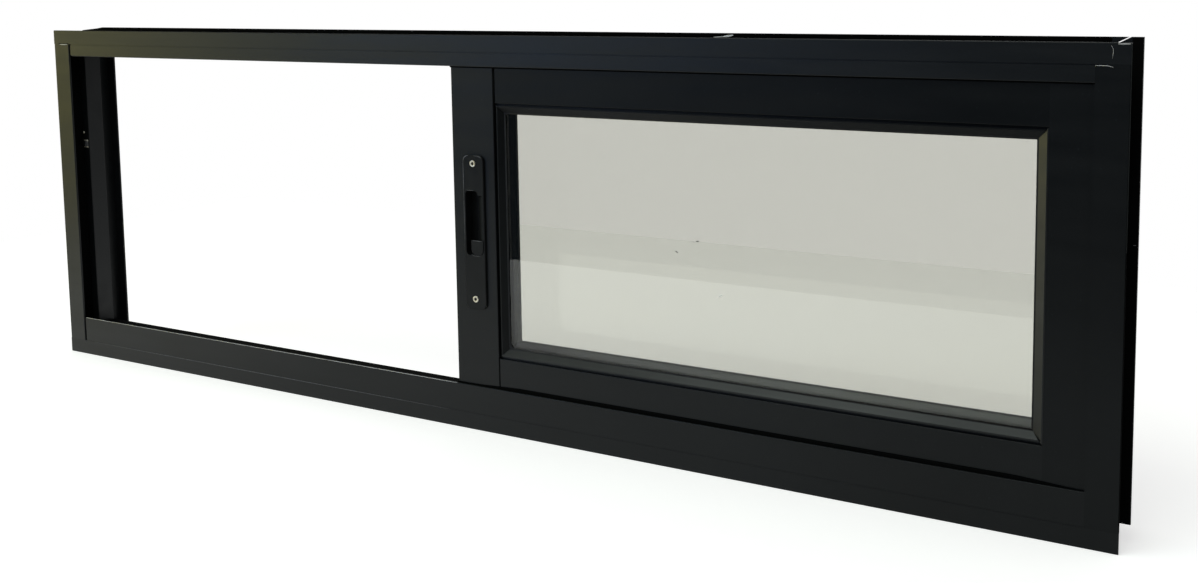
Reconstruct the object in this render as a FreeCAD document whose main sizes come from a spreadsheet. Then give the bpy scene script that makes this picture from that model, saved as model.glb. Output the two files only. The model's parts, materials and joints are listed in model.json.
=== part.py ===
"""Horizontal sliding window: an extruded aluminium frame, a fixed light in its rear channel and a sash in
its front channel, slid open over the fixed light.  Millimetres, +Z up, the latch side faces -Y, and the
origin is the middle of the frame's footprint on the floor."""

import FreeCAD, Part
import math
import os
import Sketcher

# Driving sizes
SIZES = {
    # outer frame
    "frame_width": 1270.0,
    "frame_height": 400.0,
    "frame_depth": 67.5,
    "frame_wall": 2.0,
    "jamb_face": 26.7,
    "jamb_rib_face": 24.5,
    "jamb_rear_face": 26.4,
    "jamb_web_inset": 12.5,
    "head_band": 16.5,
    "head_face": 31.0,
    "sill_band": 17.0,
    "sill_face": 46.0,
    "sill_rear_face": 27.0,
    "sill_rib_face": 34.0,
    "groove_width": 1.2,
    "head_groove_depth": 0.8,
    "sill_groove_depth": 0.25,
    "lip_end_gap": 3.2,
    "lip_corner": 3.0,
    "edge_round": 0.8,
    "shelf_inset": 15.0,
    "leg_inset": 30.0,
    # rear fins, their fixing holes, and the slit near the head fin's right end
    "fin_setback": 24.5,
    "fin_reach": 3.2,
    "fin_start": 36.0,
    "fin_taper": 24.0,
    "fin_hole_radius": 1.0,
    "fin_hole_inset": 3.0,
    "head_hole_spacing": 562.0,
    "jamb_hole_spacing": 84.0,
    "jamb_hole_middle": 200.0,
    "slit_inset": 18.2,
    "slit_drop": 2.0,
    "slit_width": 1.8,
    "slit_run": 13.5,
    # track under the sash
    "track_width": 1.8,
    "track_rise": 6.0,
    # sash and fixed light
    "panel_depth": 16.0,
    "panel_wall": 1.6,
    "lock_stile_face": 52.0,
    "pull_stile_face": 43.6,
    "fixed_stile_face": 44.0,
    "top_rail_face": 45.6,
    "bottom_rail_face": 50.0,
    "fixed_bottom_rail_face": 52.0,
    "jamb_cover": 9.0,
    "meeting_overlap": 41.2,
    "fixed_lap": 12.0,
    "sash_front_gap": 1.4,
    "sash_rear_gap": 4.4,
    "fixed_gap": 1.7,
    "sash_floor_gap": 10.0,
    "panel_head_gap": 4.5,
    "packer_thickness": 4.0,
    "packer_length": 60.0,
    "packer_inset": 90.0,
    # glazing
    "bead_width": 9.3,
    "bead_setback": 0.6,
    "left_bead_gap": 3.2,
    "right_bead_gap": 0.3,
    "top_bead_gap": 2.2,
    "bottom_bead_gap": 2.8,
    "bead_gap_depth": 4.0,
    "bead_flat": 1.2,
    "bead_nose": 1.2,
    "glass_setback": 6.5,
    "glass_thickness": 5.0,
    "glass_edge_gap": 3.0,
    "gasket_thickness": 1.4,
    "lip_wall": 1.6,
    # interlock strips on the meeting stiles
    "interlock_reach": 18.0,
    "interlock_hook": 9.0,
    "interlock_wall": 1.6,
    "interlock_clearance": 3.0,
    # rollers in the sash's bottom rail
    "rail_channel": 20.0,
    "roller_radius": 8.0,
    "roller_groove": 1.5,
    "roller_width": 6.0,
    "roller_inset": 80.0,
    "roller_clearance": 0.2,
    "axle_radius": 2.0,
    "cage_length": 46.0,
    "cage_gap": 0.2,
    "cage_side": 2.5,
    "cage_foot": 3.0,
    # latch on the lock stile
    "latch_length": 156.0,
    "latch_width": 25.6,
    "latch_shift": 0.7,
    "latch_plate": 2.5,
    "latch_corner": 7.0,
    "latch_chamfer": 0.6,
    "latch_left_rim": 2.4,
    "latch_slot_length": 65.4,
    "latch_slot_width": 15.6,
    "latch_slot_rise": 9.5,
    "latch_slot_round": 4.5,
    "latch_scoop_width": 5.6,
    "latch_scoop_depth": 2.0,
    "latch_pan_depth": 10.0,
    "latch_pan_wall": 1.2,
    "latch_cutout_gap": 0.2,
    "slider_width": 14.5,
    "slider_length": 15.0,
    "slider_shift": 3.8,
    "slider_round": 6.0,
    "slider_gap": 0.6,
    "slider_lift": 0.15,
    "slider_proud": 0.8,
    # keeper on the lock jamb
    "keeper_height": 36.0,
    "keeper_width": 14.0,
    "keeper_thickness": 1.5,
    "keeper_middle": 263.0,
    "keeper_nose": 7.0,
    "keeper_nose_height": 10.0,
}


class Size:
    """A length kept both as a sheet expression and as its present number."""

    def __init__(self, text, number):
        self.text = text
        self.number = number

    def __add__(self, other):
        other = as_size(other)
        return Size(f"({self.text} + {other.text})", self.number + other.number)

    def __sub__(self, other):
        other = as_size(other)
        return Size(f"({self.text} - {other.text})", self.number - other.number)

    def __mul__(self, factor):
        return Size(f"({self.text} * {factor})", self.number * factor)

    def __truediv__(self, divisor):
        return Size(f"({self.text} / {divisor})", self.number / divisor)

    def __neg__(self):
        return Size(f"(0 - {self.text})", -self.number)


def as_size(value):
    if isinstance(value, Size):
        return value
    return Size(repr(float(value)), float(value))


doc = FreeCAD.newDocument("SlidingWindow")
sheet = doc.addObject("Spreadsheet::Sheet", "Sizes")
for row, (name, number) in enumerate(SIZES.items(), start=1):
    sheet.set(f"A{row}", name)
    sheet.set(f"B{row}", str(number))
    sheet.setAlias(f"B{row}", name)
doc.recompute()


def size(name):
    return Size(f"Sizes.{name}", SIZES[name])


ZERO = as_size(0)
PARTS = []

# A member's own axes: across its face, into the depth, along its length
X, Y, Z = FreeCAD.Vector(1, 0, 0), FreeCAD.Vector(0, 1, 0), FreeCAD.Vector(0, 0, 1)
FROM_LEFT = FreeCAD.Rotation(X, Y, Z, "ZXY")
FROM_RIGHT = FreeCAD.Rotation(-X, Y, -Z, "ZXY")
FROM_TOP = FreeCAD.Rotation(-Z, Y, X, "ZXY")
FROM_BOTTOM = FreeCAD.Rotation(Z, Y, -X, "ZXY")


def new_body(label, rotation, base):
    """A body whose local frame is turned by rotation and set at base, three sizes bound to the sheet."""
    body = doc.addObject("PartDesign::Body", label)
    body.Label = label
    place(body, rotation, base)
    PARTS.append(body)
    return body


def place(thing, rotation, base):
    thing.Placement = FreeCAD.Placement(FreeCAD.Vector(*[as_size(b).number for b in base]), rotation)
    for axis, value in zip("xyz", base):
        thing.setExpression(f".Placement.Base.{axis}", as_size(value).text)


def origin_plane(body, role):
    for feature in body.Origin.OriginFeatures:
        if feature.Role == role:
            return feature
    raise RuntimeError(f"no plane {role}")


def new_sketch(body, name, role="XY_Plane", offset=None):
    sketch = body.newObject("Sketcher::SketchObject", name)
    sketch.AttachmentSupport = [(origin_plane(body, role), "")]
    sketch.MapMode = "FlatFace"
    if offset is not None:
        sketch.setExpression(".AttachmentOffset.Base.z", offset.text)
    return sketch


def pin_point(sketch, geometry, end, point):
    """Tie one sketch point to the sketch origin by two sizes, or to an axis where a size is nought."""
    for kind, axis, value in (("DistanceX", -2, point[0]), ("DistanceY", -1, point[1])):
        value = as_size(value)
        if abs(value.number) < 1e-9:
            sketch.addConstraint(Sketcher.Constraint("PointOnObject", geometry, end, axis))
            continue
        if value.number > 0:
            rule = Sketcher.Constraint(kind, -1, 1, geometry, end, value.number)
            text = value.text
        else:
            rule = Sketcher.Constraint(kind, geometry, end, -1, 1, -value.number)
            text = f"-{value.text}"
        index = sketch.addConstraint(rule)
        sketch.setExpression(f"Constraints[{index}]", text)


def corner_ends(before, corner, after):
    """Where the rounding of a square corner starts and ends, each a pair of sizes."""
    ends = []
    for other in (before, after):
        gap_x = as_size(other[0]).number - as_size(corner[0]).number
        gap_y = as_size(other[1]).number - as_size(corner[1]).number
        if abs(gap_x) > abs(gap_y):
            ends.append((as_size(corner[0]) + corner[2] * math.copysign(1, gap_x), corner[1]))
        else:
            ends.append((corner[0], as_size(corner[1]) + corner[2] * math.copysign(1, gap_y)))
    return ends


def spot(point):
    return FreeCAD.Vector(as_size(point[0]).number, as_size(point[1]).number, 0)


def outline(sketch, points):
    """A closed outline through the points, each a pair of sizes.  A third size rounds that corner, whose
    edges run along the sketch's axes."""
    count = len(points)
    stops = []
    for i in range(count):
        if len(points[i]) == 3:
            stops.append(corner_ends(points[i - 1], points[i], points[(i + 1) % count]))
        else:
            stops.append([points[i]])
    chain = []
    for i in range(count):
        if len(stops[i]) == 2:
            chain.append(rounding(sketch, points[i], *stops[i]))
        line = Part.LineSegment(spot(stops[i][-1]), spot(stops[(i + 1) % count][0]))
        edge = sketch.addGeometry(line, False)
        if len(stops[i]) == 1:
            pin_point(sketch, edge, 1, points[i])
        chain.append((edge, 1, 2))
    for (here, _, end), (after, start, _) in zip(chain, chain[1:] + chain[:1]):
        sketch.addConstraint(Sketcher.Constraint("Coincident", here, end, after, start))


def rounding(sketch, corner, first, last):
    """A quarter round between two pinned points; gives the arc with the numbers of its first and last end."""
    centre = spot(first) + spot(last) - spot(corner)
    outward = (spot(corner) - centre).normalize()
    middle = centre + outward * corner[2].number
    turn = (spot(corner) - spot(first)).cross(spot(last) - spot(corner)).z
    ends = (first, last) if turn > 0 else (last, first)
    arc = sketch.addGeometry(Part.Arc(spot(ends[0]), middle, spot(ends[1])), False)
    pin_point(sketch, arc, 1, ends[0])
    pin_point(sketch, arc, 2, ends[1])
    index = sketch.addConstraint(Sketcher.Constraint("Radius", arc, corner[2].number))
    sketch.setExpression(f"Constraints[{index}]", corner[2].text)
    return (arc, 1, 2) if turn > 0 else (arc, 2, 1)


def rectangle(sketch, low, high, radius=None):
    corners = [(low[0], low[1]), (high[0], low[1]), (high[0], high[1]), (low[0], high[1])]
    if radius is not None:
        corners = [corner + (radius,) for corner in corners]
    outline(sketch, corners)


def circle(sketch, centre, radius):
    geometry = sketch.addGeometry(Part.Circle(spot(centre), FreeCAD.Vector(0, 0, 1), radius.number), False)
    pin_point(sketch, geometry, 3, centre)
    index = sketch.addConstraint(Sketcher.Constraint("Radius", geometry, radius.number))
    sketch.setExpression(f"Constraints[{index}]", radius.text)


def pad(body, sketch, length, backwards=False):
    feature = body.newObject("PartDesign::Pad", f"{sketch.Name}_pad")
    feature.Profile = sketch
    feature.Reversed = backwards
    feature.setExpression("Length", as_size(length).text)
    return feature


def cut_through(body, sketch):
    """A pocket right through the body, both ways from the sketch."""
    feature = body.newObject("PartDesign::Pocket", f"{sketch.Name}_cut")
    feature.Profile = sketch
    feature.Type = "ThroughAll"
    feature.Midplane = True
    return feature


def pocket(body, sketch, length):
    """A pocket of a set depth from the sketch into the body."""
    feature = body.newObject("PartDesign::Pocket", f"{sketch.Name}_cut")
    feature.Profile = sketch
    feature.setExpression("Length", as_size(length).text)
    return feature


# Values that several pieces share
half_width = size("frame_width") / 2
front = -(size("frame_depth") / 2)
wall = size("frame_wall")
depth = size("frame_depth")
edge = size("edge_round")
sash_front_gap = wall + size("sash_front_gap")
rib_start = sash_front_gap + size("panel_depth") + size("sash_rear_gap")
rib_end = depth - wall - size("panel_depth") - size("fixed_gap") * 2
fixed_front_gap = rib_end + size("fixed_gap")
fin_front = size("fin_setback")
fin_back = fin_front + wall
fin_edge = -size("fin_reach")
web_inside = size("jamb_web_inset") + wall
jamb_foot = size("sill_band")
jamb_top = size("frame_height") - size("head_band")
jamb_length = jamb_top - jamb_foot
track_middle = sash_front_gap + size("panel_depth") / 2
between_jambs = size("frame_width") - size("jamb_face") * 2
lip_start = size("jamb_face") + size("lip_end_gap")
lip_length = between_jambs - size("lip_end_gap")


def jamb(label, rotation, base, inner_corner):
    """An extrusion: face flange, sash channel, hollow rib, rear channel and rear flange, with a fixing fin on
    the outside of its web.  The inner corner of the face is square or rounded."""
    body = new_body(label, rotation, base)
    face = size("jamb_face")
    rib_face = size("jamb_rib_face")
    rear_face = size("jamb_rear_face")
    web = size("jamb_web_inset")
    sketch = new_sketch(body, f"{label}_profile")
    outline(sketch, [
        (ZERO, ZERO, edge), (face, ZERO, *inner_corner), (face, wall), (web_inside, wall),
        (web_inside, rib_start), (rib_face, rib_start, edge), (rib_face, rib_end, edge),
        (web_inside, rib_end), (web_inside, depth - wall), (rear_face, depth - wall), (rear_face, depth),
        (web, depth), (web, fin_back), (fin_edge, fin_back), (fin_edge, fin_front),
        (web, fin_front), (web, wall), (ZERO, wall),
    ])
    rectangle(sketch, (web_inside, rib_start + wall), (rib_face - wall, rib_end - wall))
    pad(body, sketch, jamb_length)
    return body


# Frame jambs
left_jamb = jamb("left_jamb", FROM_LEFT, (-half_width, front, jamb_foot), [edge])
right_jamb = jamb("right_jamb", FROM_RIGHT, (half_width, front, jamb_top), [])


def frame_band(body, label, band, legs):
    """The outer band of a head or sill: a front flange from end to end, a shelf behind it that stops short of
    both ends, and legs on the shelf.  Each leg is the depth where it starts and where it ends."""
    sketch = new_sketch(body, f"{label}_flange_profile")
    outline(sketch, [(ZERO, ZERO, edge), (band, ZERO), (band, wall), (ZERO, wall)])
    pad(body, sketch, size("frame_width"))
    sketch = new_sketch(body, f"{label}_shelf_profile", offset=size("shelf_inset"))
    rectangle(sketch, (band - wall, wall), (band, depth))
    pad(body, sketch, size("frame_width") - size("shelf_inset") * 2)
    sketch = new_sketch(body, f"{label}_leg_profile", offset=size("leg_inset"))
    for start, end in legs:
        rectangle(sketch, (ZERO, start), (band - wall, end))
    pad(body, sketch, size("frame_width") - size("leg_inset") * 2)


def front_lip(sketch, band, face, groove_depth):
    """The front lip past the band, with a fine groove where it starts."""
    groove = band + size("groove_width")
    outline(sketch, [
        (band, groove_depth), (groove, groove_depth), (groove, ZERO), (face, ZERO, edge),
        (face, wall), (band, wall),
    ])


def hollow_rib(sketch, band, face):
    """The rib between the two channels, a cap on two walls."""
    outline(sketch, [
        (band, rib_start), (face, rib_start), (face, rib_end), (band, rib_end), (band, rib_end - wall),
        (face - wall, rib_end - wall), (face - wall, rib_start + wall), (band, rib_start + wall),
    ])


def corner_piece(sketch, corner, across, along, radius):
    """The sliver outside a quarter round, to be cut from a square corner; across and along are the signs of
    the ways from the corner into the piece."""
    side = (corner[0] + radius * across, corner[1])
    foot = (corner[0], corner[1] + radius * along)
    centre = spot(side) + spot(foot) - spot(corner)
    middle = centre + (spot(corner) - centre).normalize() * radius.number
    ends = (side, foot) if across * along < 0 else (foot, side)
    arc = sketch.addGeometry(Part.Arc(spot(ends[0]), middle, spot(ends[1])), False)
    first = sketch.addGeometry(Part.LineSegment(spot(ends[1]), spot(corner)), False)
    last = sketch.addGeometry(Part.LineSegment(spot(corner), spot(ends[0])), False)
    for here, after in ((arc, first), (first, last), (last, arc)):
        sketch.addConstraint(Sketcher.Constraint("Coincident", here, 2, after, 1))
    pin_point(sketch, first, 1, ends[1])
    pin_point(sketch, last, 1, corner)
    pin_point(sketch, last, 2, ends[0])
    index = sketch.addConstraint(Sketcher.Constraint("Radius", arc, radius.number))
    sketch.setExpression(f"Constraints[{index}]", radius.text)


# Frame head: a band over the jamb tops with the fin on it, and the lips that hang between the jambs
head = new_body("head", FROM_TOP, (-half_width, front, size("frame_height")))
band = size("head_band")
face = size("head_face")
head_end = size("frame_width")
frame_band(head, "head", band, [(depth - wall, depth)])
sketch = new_sketch(head, "head_fin", "XZ_Plane", offset=-fin_front)
outline(sketch, [
    (band, size("fin_start")), (ZERO, size("fin_start")), (fin_edge, size("fin_start") + size("fin_taper")),
    (fin_edge, head_end - fin_edge), (band, head_end - fin_edge),
])
pad(head, sketch, wall, backwards=True)
sketch = new_sketch(head, "head_fin_slit", "XZ_Plane", offset=-fin_front)
slit_foot = head_end - size("slit_inset")
slit_head = slit_foot + size("slit_run")
outline(sketch, [
    (size("slit_drop"), slit_foot), (size("slit_drop"), slit_foot + size("slit_width")),
    (fin_edge * 1.5, slit_head + size("slit_width")), (fin_edge * 1.5, slit_head),
])
pocket(head, sketch, wall)
sketch = new_sketch(head, "head_lip_profile", offset=lip_start)
front_lip(sketch, band, face, size("head_groove_depth"))
hollow_rib(sketch, band, face)
rectangle(sketch, (band, depth - wall), (face, depth))
pad(head, sketch, lip_length)
sketch = new_sketch(head, "head_lip_corner", "XZ_Plane")
corner_piece(sketch, (face, lip_start), -1, 1, size("lip_corner"))
pocket(head, sketch, wall)

# Frame sill: a band on the floor, and the front upstand, track, rib and rear upstand between the jambs
sill = new_body("sill", FROM_BOTTOM, (half_width, front, ZERO))
band = size("sill_band")
frame_band(sill, "sill", band, [(fin_front, fin_back), (depth - wall, depth)])
sketch = new_sketch(sill, "sill_upstand_profile", offset=size("jamb_face"))
front_lip(sketch, band, size("sill_face"), size("sill_groove_depth"))
pad(sill, sketch, lip_length)
sketch = new_sketch(sill, "sill_track_profile", offset=size("jamb_face"))
track_top = band + size("track_rise")
track_half = size("track_width") / 2
rectangle(sketch, (band, track_middle - track_half), (track_top, track_middle + track_half))
hollow_rib(sketch, band, size("sill_rib_face"))
rectangle(sketch, (band, depth - wall), (size("sill_rear_face"), depth))
pad(sill, sketch, between_jambs)


def panel(prefix, names, faces, left, front_gap, floor):
    """A glazed panel of tube members: stiles full height, rails between them, glass on a gasket and four
    beads."""
    left_face, right_face, bottom_face = faces
    top_face = size("top_rail_face")
    lip = size("bead_width")
    right = panel_right
    top = jamb_top - size("panel_head_gap")
    height = top - floor
    tall = height - top_face - bottom_face
    wide = right - left - left_face - right_face
    start = front + front_gap
    lip_front = size("glass_setback") + size("glass_thickness") + size("gasket_thickness")

    def member(label, rotation, base, face_width, length, lip_inset=(ZERO, ZERO), open_foot=False,
               inner_corner=(edge,)):
        """A tube member with the shelf that backs the glass.  An open foot has a channel for rollers."""
        body = new_body(label, rotation, base)
        thin = size("panel_wall")
        deep = size("panel_depth")
        profile = new_sketch(body, f"{label}_profile")
        if open_foot:
            foot = size("rail_channel")
            outline(profile, [
                (ZERO, ZERO), (face_width, ZERO, *inner_corner), (face_width, deep), (ZERO, deep),
                (ZERO, deep - thin), (foot, deep - thin), (foot, thin), (ZERO, thin),
            ])
            rectangle(profile, (foot + thin, thin), (face_width - thin, deep - thin))
        else:
            outline(profile, [
                (ZERO, ZERO, edge), (face_width, ZERO, *inner_corner), (face_width, deep), (ZERO, deep),
            ])
            rectangle(profile, (thin, thin), (face_width - thin, deep - thin))
        pad(body, profile, length)
        shelf = new_sketch(body, f"{label}_shelf", offset=lip_inset[0])
        rectangle(shelf, (face_width, lip_front), (face_width + lip, lip_front + size("lip_wall")))
        pad(body, shelf, length - lip_inset[0] - lip_inset[1])
        return body

    below = bottom_face + lip
    above = top_face + lip
    left_stile = member(f"{prefix}_{names[0]}", FROM_LEFT, (left, start, floor), left_face, height,
                        (below, above))
    member(f"{prefix}_{names[1]}", FROM_RIGHT, (right, start, top), right_face, height, (above, below),
           inner_corner=())
    member(f"{prefix}_top_rail", FROM_TOP, (left + left_face, start, top), top_face, wide)
    member(f"{prefix}_bottom_rail", FROM_BOTTOM, (right - right_face, start, floor), bottom_face, wide,
           open_foot=True)

    low_x = left + left_face
    low_z = floor + bottom_face
    gap = size("glass_edge_gap")
    pane_width = wide - gap * 2
    pane_height = tall - gap * 2
    glass = new_body(f"{prefix}_glass", FROM_LEFT, (low_x + gap, start + size("glass_setback"), low_z + gap))
    profile = new_sketch(glass, f"{prefix}_glass_profile")
    rectangle(profile, (ZERO, ZERO), (pane_width, size("glass_thickness")))
    pad(glass, profile, pane_height)

    gasket_base = (low_x + gap, start + size("glass_setback") + size("glass_thickness"), low_z + gap)
    gasket = new_body(f"{prefix}_gasket", FROM_LEFT, gasket_base)
    profile = new_sketch(gasket, f"{prefix}_gasket_profile", "XZ_Plane")
    inner = lip - gap
    rectangle(profile, (ZERO, ZERO), (pane_width, pane_height))
    rectangle(profile, (inner, inner), (pane_width - inner, pane_height - inner))
    pad(gasket, profile, size("gasket_thickness"), backwards=True)

    def bead(side, rotation, base, length):
        """A sloped glazing bead, cut to forty-five degrees at both ends."""
        label = f"{prefix}_{side}_bead"
        body = new_body(label, rotation, base)
        setback = size("bead_setback")
        deep = size("glass_setback")
        profile = new_sketch(body, f"{label}_profile")
        gap_depth = size("bead_gap_depth")
        flat_start = size(f"{side}_bead_gap")
        outline(profile, [
            (ZERO, gap_depth), (flat_start, gap_depth), (flat_start, setback),
            (flat_start + size("bead_flat"), setback), (lip, deep - size("bead_nose")), (lip, deep),
            (ZERO, deep),
        ])
        pad(body, profile, length)
        mitre = new_sketch(body, f"{label}_mitre", "XZ_Plane")
        outline(mitre, [(ZERO, ZERO), (lip, ZERO), (lip, lip)])
        outline(mitre, [(ZERO, length), (lip, length - lip), (lip, length)])
        cut_through(body, mitre)

    bead("left", FROM_LEFT, (low_x, start, low_z), tall)
    bead("right", FROM_RIGHT, (right - right_face, start, low_z + tall), tall)
    bead("top", FROM_TOP, (low_x, start, low_z + tall), wide)
    bead("bottom", FROM_BOTTOM, (right - right_face, start, low_z), wide)
    return left_stile


# Sash and fixed light, one behind the other in the right half
cover = size("jamb_face") - size("jamb_cover")
panel_width = (size("frame_width") - cover * 2 + size("meeting_overlap")) / 2
panel_right = half_width - cover
panel_left = panel_right - panel_width
sash_floor = size("sill_band") + size("sash_floor_gap")
fixed_floor = size("sill_band") + size("packer_thickness")
fixed_left = panel_left - size("fixed_lap")
lock_stile = panel("sash", ("lock_stile", "pull_stile"),
                   (size("lock_stile_face"), size("pull_stile_face"), size("bottom_rail_face")),
                   panel_left, sash_front_gap, sash_floor)
panel("fixed", ("meeting_stile", "jamb_stile"),
      (size("fixed_stile_face"), size("fixed_stile_face"), size("fixed_bottom_rail_face")),
      fixed_left, fixed_front_gap, fixed_floor)


def packer(label, left):
    """A plastic block that carries the fixed light on the sill's floor."""
    body = new_body(label, FROM_LEFT, (left, front + fixed_front_gap, size("sill_band")))
    sketch = new_sketch(body, f"{label}_profile")
    rectangle(sketch, (ZERO, ZERO), (size("packer_length"), size("panel_depth")))
    pad(body, sketch, size("packer_thickness"))


packer("fixed_left_packer", fixed_left + size("packer_inset"))
packer("fixed_right_packer", panel_right - size("packer_inset") - size("packer_length"))


def interlock(label, rotation, base, side, height):
    """A hooked weather strip on the face of a meeting stile: a flat foot, a web and a turned-in hook.
    The side is 1 for a strip that stands out to the rear, or -1 to the front."""
    body = new_body(label, rotation, base)
    thin = size("interlock_wall")
    reach = size("interlock_reach")
    hook = size("interlock_hook")
    sketch = new_sketch(body, f"{label}_profile")
    outline(sketch, [
        (ZERO, ZERO), (hook, ZERO), (hook, thin * side), (thin, thin * side), (thin, (reach - thin) * side),
        (hook, (reach - thin) * side), (hook, reach * side), (ZERO, reach * side),
    ])
    pad(body, sketch, height)


# The two strips hook behind each other when the sash is shut
panel_top = jamb_top - size("panel_head_gap")
stile_height = panel_top - sash_floor
sash_travel = panel_left + half_width - cover
strip_right = panel_right - size("jamb_cover") - size("interlock_clearance")
strip_left = strip_right - sash_travel - size("interlock_hook") - size("interlock_wall")
strip_foot = size("sill_rib_face") + size("interlock_clearance")
strip_top = size("frame_height") - size("head_face") - size("interlock_clearance")
interlock("sash_interlock", FROM_RIGHT,
          (strip_right, front + sash_front_gap + size("panel_depth"), strip_top),
          1, strip_top - strip_foot)
interlock("fixed_interlock", FROM_LEFT,
          (strip_left - size("interlock_clearance"), front + fixed_front_gap, strip_foot),
          -1, strip_top - strip_foot)


def roller(side, middle):
    """A grooved wheel on the track, and the cage that holds its axle in the bottom rail's channel."""
    wheel_radius = size("roller_radius")
    groove_radius = wheel_radius - size("roller_groove")
    axle_height = track_top + size("roller_clearance") + groove_radius
    wheel = new_body(f"{side}_roller", FROM_LEFT, (middle, front + track_middle, axle_height))
    half = size("roller_width") / 2
    bore = size("axle_radius") + size("roller_clearance") / 4
    rim = half - size("track_width") / 2 - size("roller_clearance")
    sketch = new_sketch(wheel, f"{side}_roller_profile")
    outline(sketch, [
        (bore, -half), (wheel_radius, -half), (wheel_radius, rim - half), (groove_radius, rim - half),
        (groove_radius, half - rim), (wheel_radius, half - rim), (wheel_radius, half), (bore, half),
    ])
    feature = wheel.newObject("PartDesign::Revolution", f"{side}_roller_turn")
    feature.Profile = sketch
    feature.ReferenceAxis = (sketch, ["V_Axis"])
    feature.Angle = 360

    cage_top = sash_floor + size("rail_channel")
    wide = size("panel_depth") - (size("panel_wall") + size("cage_gap")) * 2
    side_wall = size("cage_side")
    drop = cage_top - axle_height + size("cage_foot")
    cage = new_body(f"{side}_roller_cage", FROM_TOP,
                    (middle - size("cage_length") / 2, front + track_middle - wide / 2, cage_top))
    sketch = new_sketch(cage, f"{side}_cage_profile")
    outline(sketch, [
        (ZERO, ZERO), (drop, ZERO), (drop, side_wall), (side_wall, side_wall), (side_wall, wide - side_wall),
        (drop, wide - side_wall), (drop, wide), (ZERO, wide),
    ])
    pad(cage, sketch, size("cage_length"))
    axle = new_sketch(cage, f"{side}_axle_profile", "XZ_Plane")
    circle(axle, (cage_top - axle_height, size("cage_length") / 2), size("axle_radius"))
    pad(cage, axle, wide, backwards=True)


roller("left", panel_left + size("lock_stile_face") + size("roller_inset"))
roller("right", panel_right - size("pull_stile_face") - size("roller_inset"))

# Latch: a round-cornered plate with a finger slot, its pan inside the lock stile, and the thumb slider
latch_middle_x = panel_left + size("lock_stile_face") / 2 + size("latch_shift")
latch_middle_z = sash_floor + stile_height / 2
latch_front = front + sash_front_gap - size("latch_plate")
latch_half = size("latch_width") / 2
latch_reach = size("latch_length") / 2
slot_left = size("latch_left_rim") - latch_half
slot_right = slot_left + size("latch_slot_width")
slot_foot = size("latch_slot_rise") - size("latch_slot_length") / 2
slot_head = slot_foot + size("latch_slot_length")
slot_depth = size("latch_plate") + size("latch_pan_depth") - size("latch_pan_wall")
pan = size("latch_pan_wall")
latch = new_body("latch_plate", FROM_LEFT, (latch_middle_x, latch_front, latch_middle_z))
sketch = new_sketch(latch, "latch_plate_profile", "XZ_Plane")
rectangle(sketch, (-latch_half, -latch_reach), (latch_half, latch_reach), size("latch_corner"))
plate = pad(latch, sketch, size("latch_plate"), backwards=True)
doc.recompute()
front_edges = [f"Edge{number}" for number, line in enumerate(plate.Shape.Edges, start=1)
               if line.BoundBox.YMax < size("latch_chamfer").number / 2]
chamfer = latch.newObject("PartDesign::Chamfer", "latch_plate_chamfer")
chamfer.Base = (plate, front_edges)
chamfer.setExpression("Size", size("latch_chamfer").text)
sketch = new_sketch(latch, "latch_pan_profile", "XZ_Plane", offset=-(size("latch_plate") / 2))
rectangle(sketch, (slot_left - pan, slot_foot - pan), (slot_right + pan, slot_head + pan))
pad(latch, sketch, size("latch_plate") / 2 + size("latch_pan_depth"), backwards=True)
sketch = new_sketch(latch, "latch_slot_profile", "XZ_Plane")
rectangle(sketch, (slot_left, slot_foot), (slot_right, slot_head), size("latch_slot_round"))
pocket(latch, sketch, slot_depth)
scoop_head = slot_head - size("latch_slot_round")
sketch = new_sketch(latch, "latch_scoop_profile", offset=scoop_head)
outline(sketch, [
    (slot_right, ZERO), (slot_right + size("latch_scoop_width"), ZERO),
    (slot_right, size("latch_scoop_depth")),
])
pocket(latch, sketch, scoop_head - slot_foot - size("latch_slot_round"))

slider = new_body("latch_slider", FROM_LEFT, (latch_middle_x, latch_front, latch_middle_z + slot_foot))
slider_left = size("slider_shift") - size("slider_width") / 2
slider_right = slider_left + size("slider_width")
slider_foot = size("slider_gap")
slider_head = slider_foot + size("slider_length")
lift = size("slider_lift")
sketch = new_sketch(slider, "latch_button_profile", "XZ_Plane", offset=lift)
outline(sketch, [
    (slider_left, slider_foot, size("slider_round")), (slider_right, slider_foot, size("slider_round")),
    (slider_right, slider_head), (slider_left, slider_head),
])
pad(slider, sketch, size("slider_proud") - lift)
sketch = new_sketch(slider, "latch_stem_profile", "XZ_Plane", offset=lift)
stem_inset = size("slider_length") / 4
rectangle(sketch, (slider_left + size("slider_gap"), slider_foot + stem_inset),
          (slot_right - size("slider_gap"), slider_head - stem_inset))
pad(slider, sketch, slot_depth + lift, backwards=True)

# Cut-out in the lock stile's front wall for the latch pan
pan_gap = pan + size("latch_cutout_gap")
stile_middle = size("lock_stile_face") / 2 + size("latch_shift")
stile_centre = stile_height / 2
sketch = new_sketch(lock_stile, "latch_cutout", "XZ_Plane")
rectangle(sketch, (stile_middle + slot_left - pan_gap, stile_centre + slot_foot - pan_gap),
          (stile_middle + slot_right + pan_gap, stile_centre + slot_head + pan_gap))
pocket(lock_stile, sketch, size("panel_wall") * 2)

# Keeper on the lock jamb's sash channel
keeper_foot = size("keeper_middle") - size("keeper_height") / 2
keeper = new_body("keeper", FROM_LEFT, (-half_width + web_inside, front + track_middle, keeper_foot))
sketch = new_sketch(keeper, "keeper_profile")
keeper_half = size("keeper_width") / 2
thick = size("keeper_thickness")
rectangle(sketch, (ZERO, -keeper_half), (thick, keeper_half))
pad(keeper, sketch, size("keeper_height"))
sketch = new_sketch(keeper, "keeper_nose", offset=(size("keeper_height") - size("keeper_nose_height")) / 2)
rectangle(sketch, (thick, keeper_half - thick), (size("keeper_nose"), keeper_half))
pad(keeper, sketch, size("keeper_nose_height"))

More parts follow.
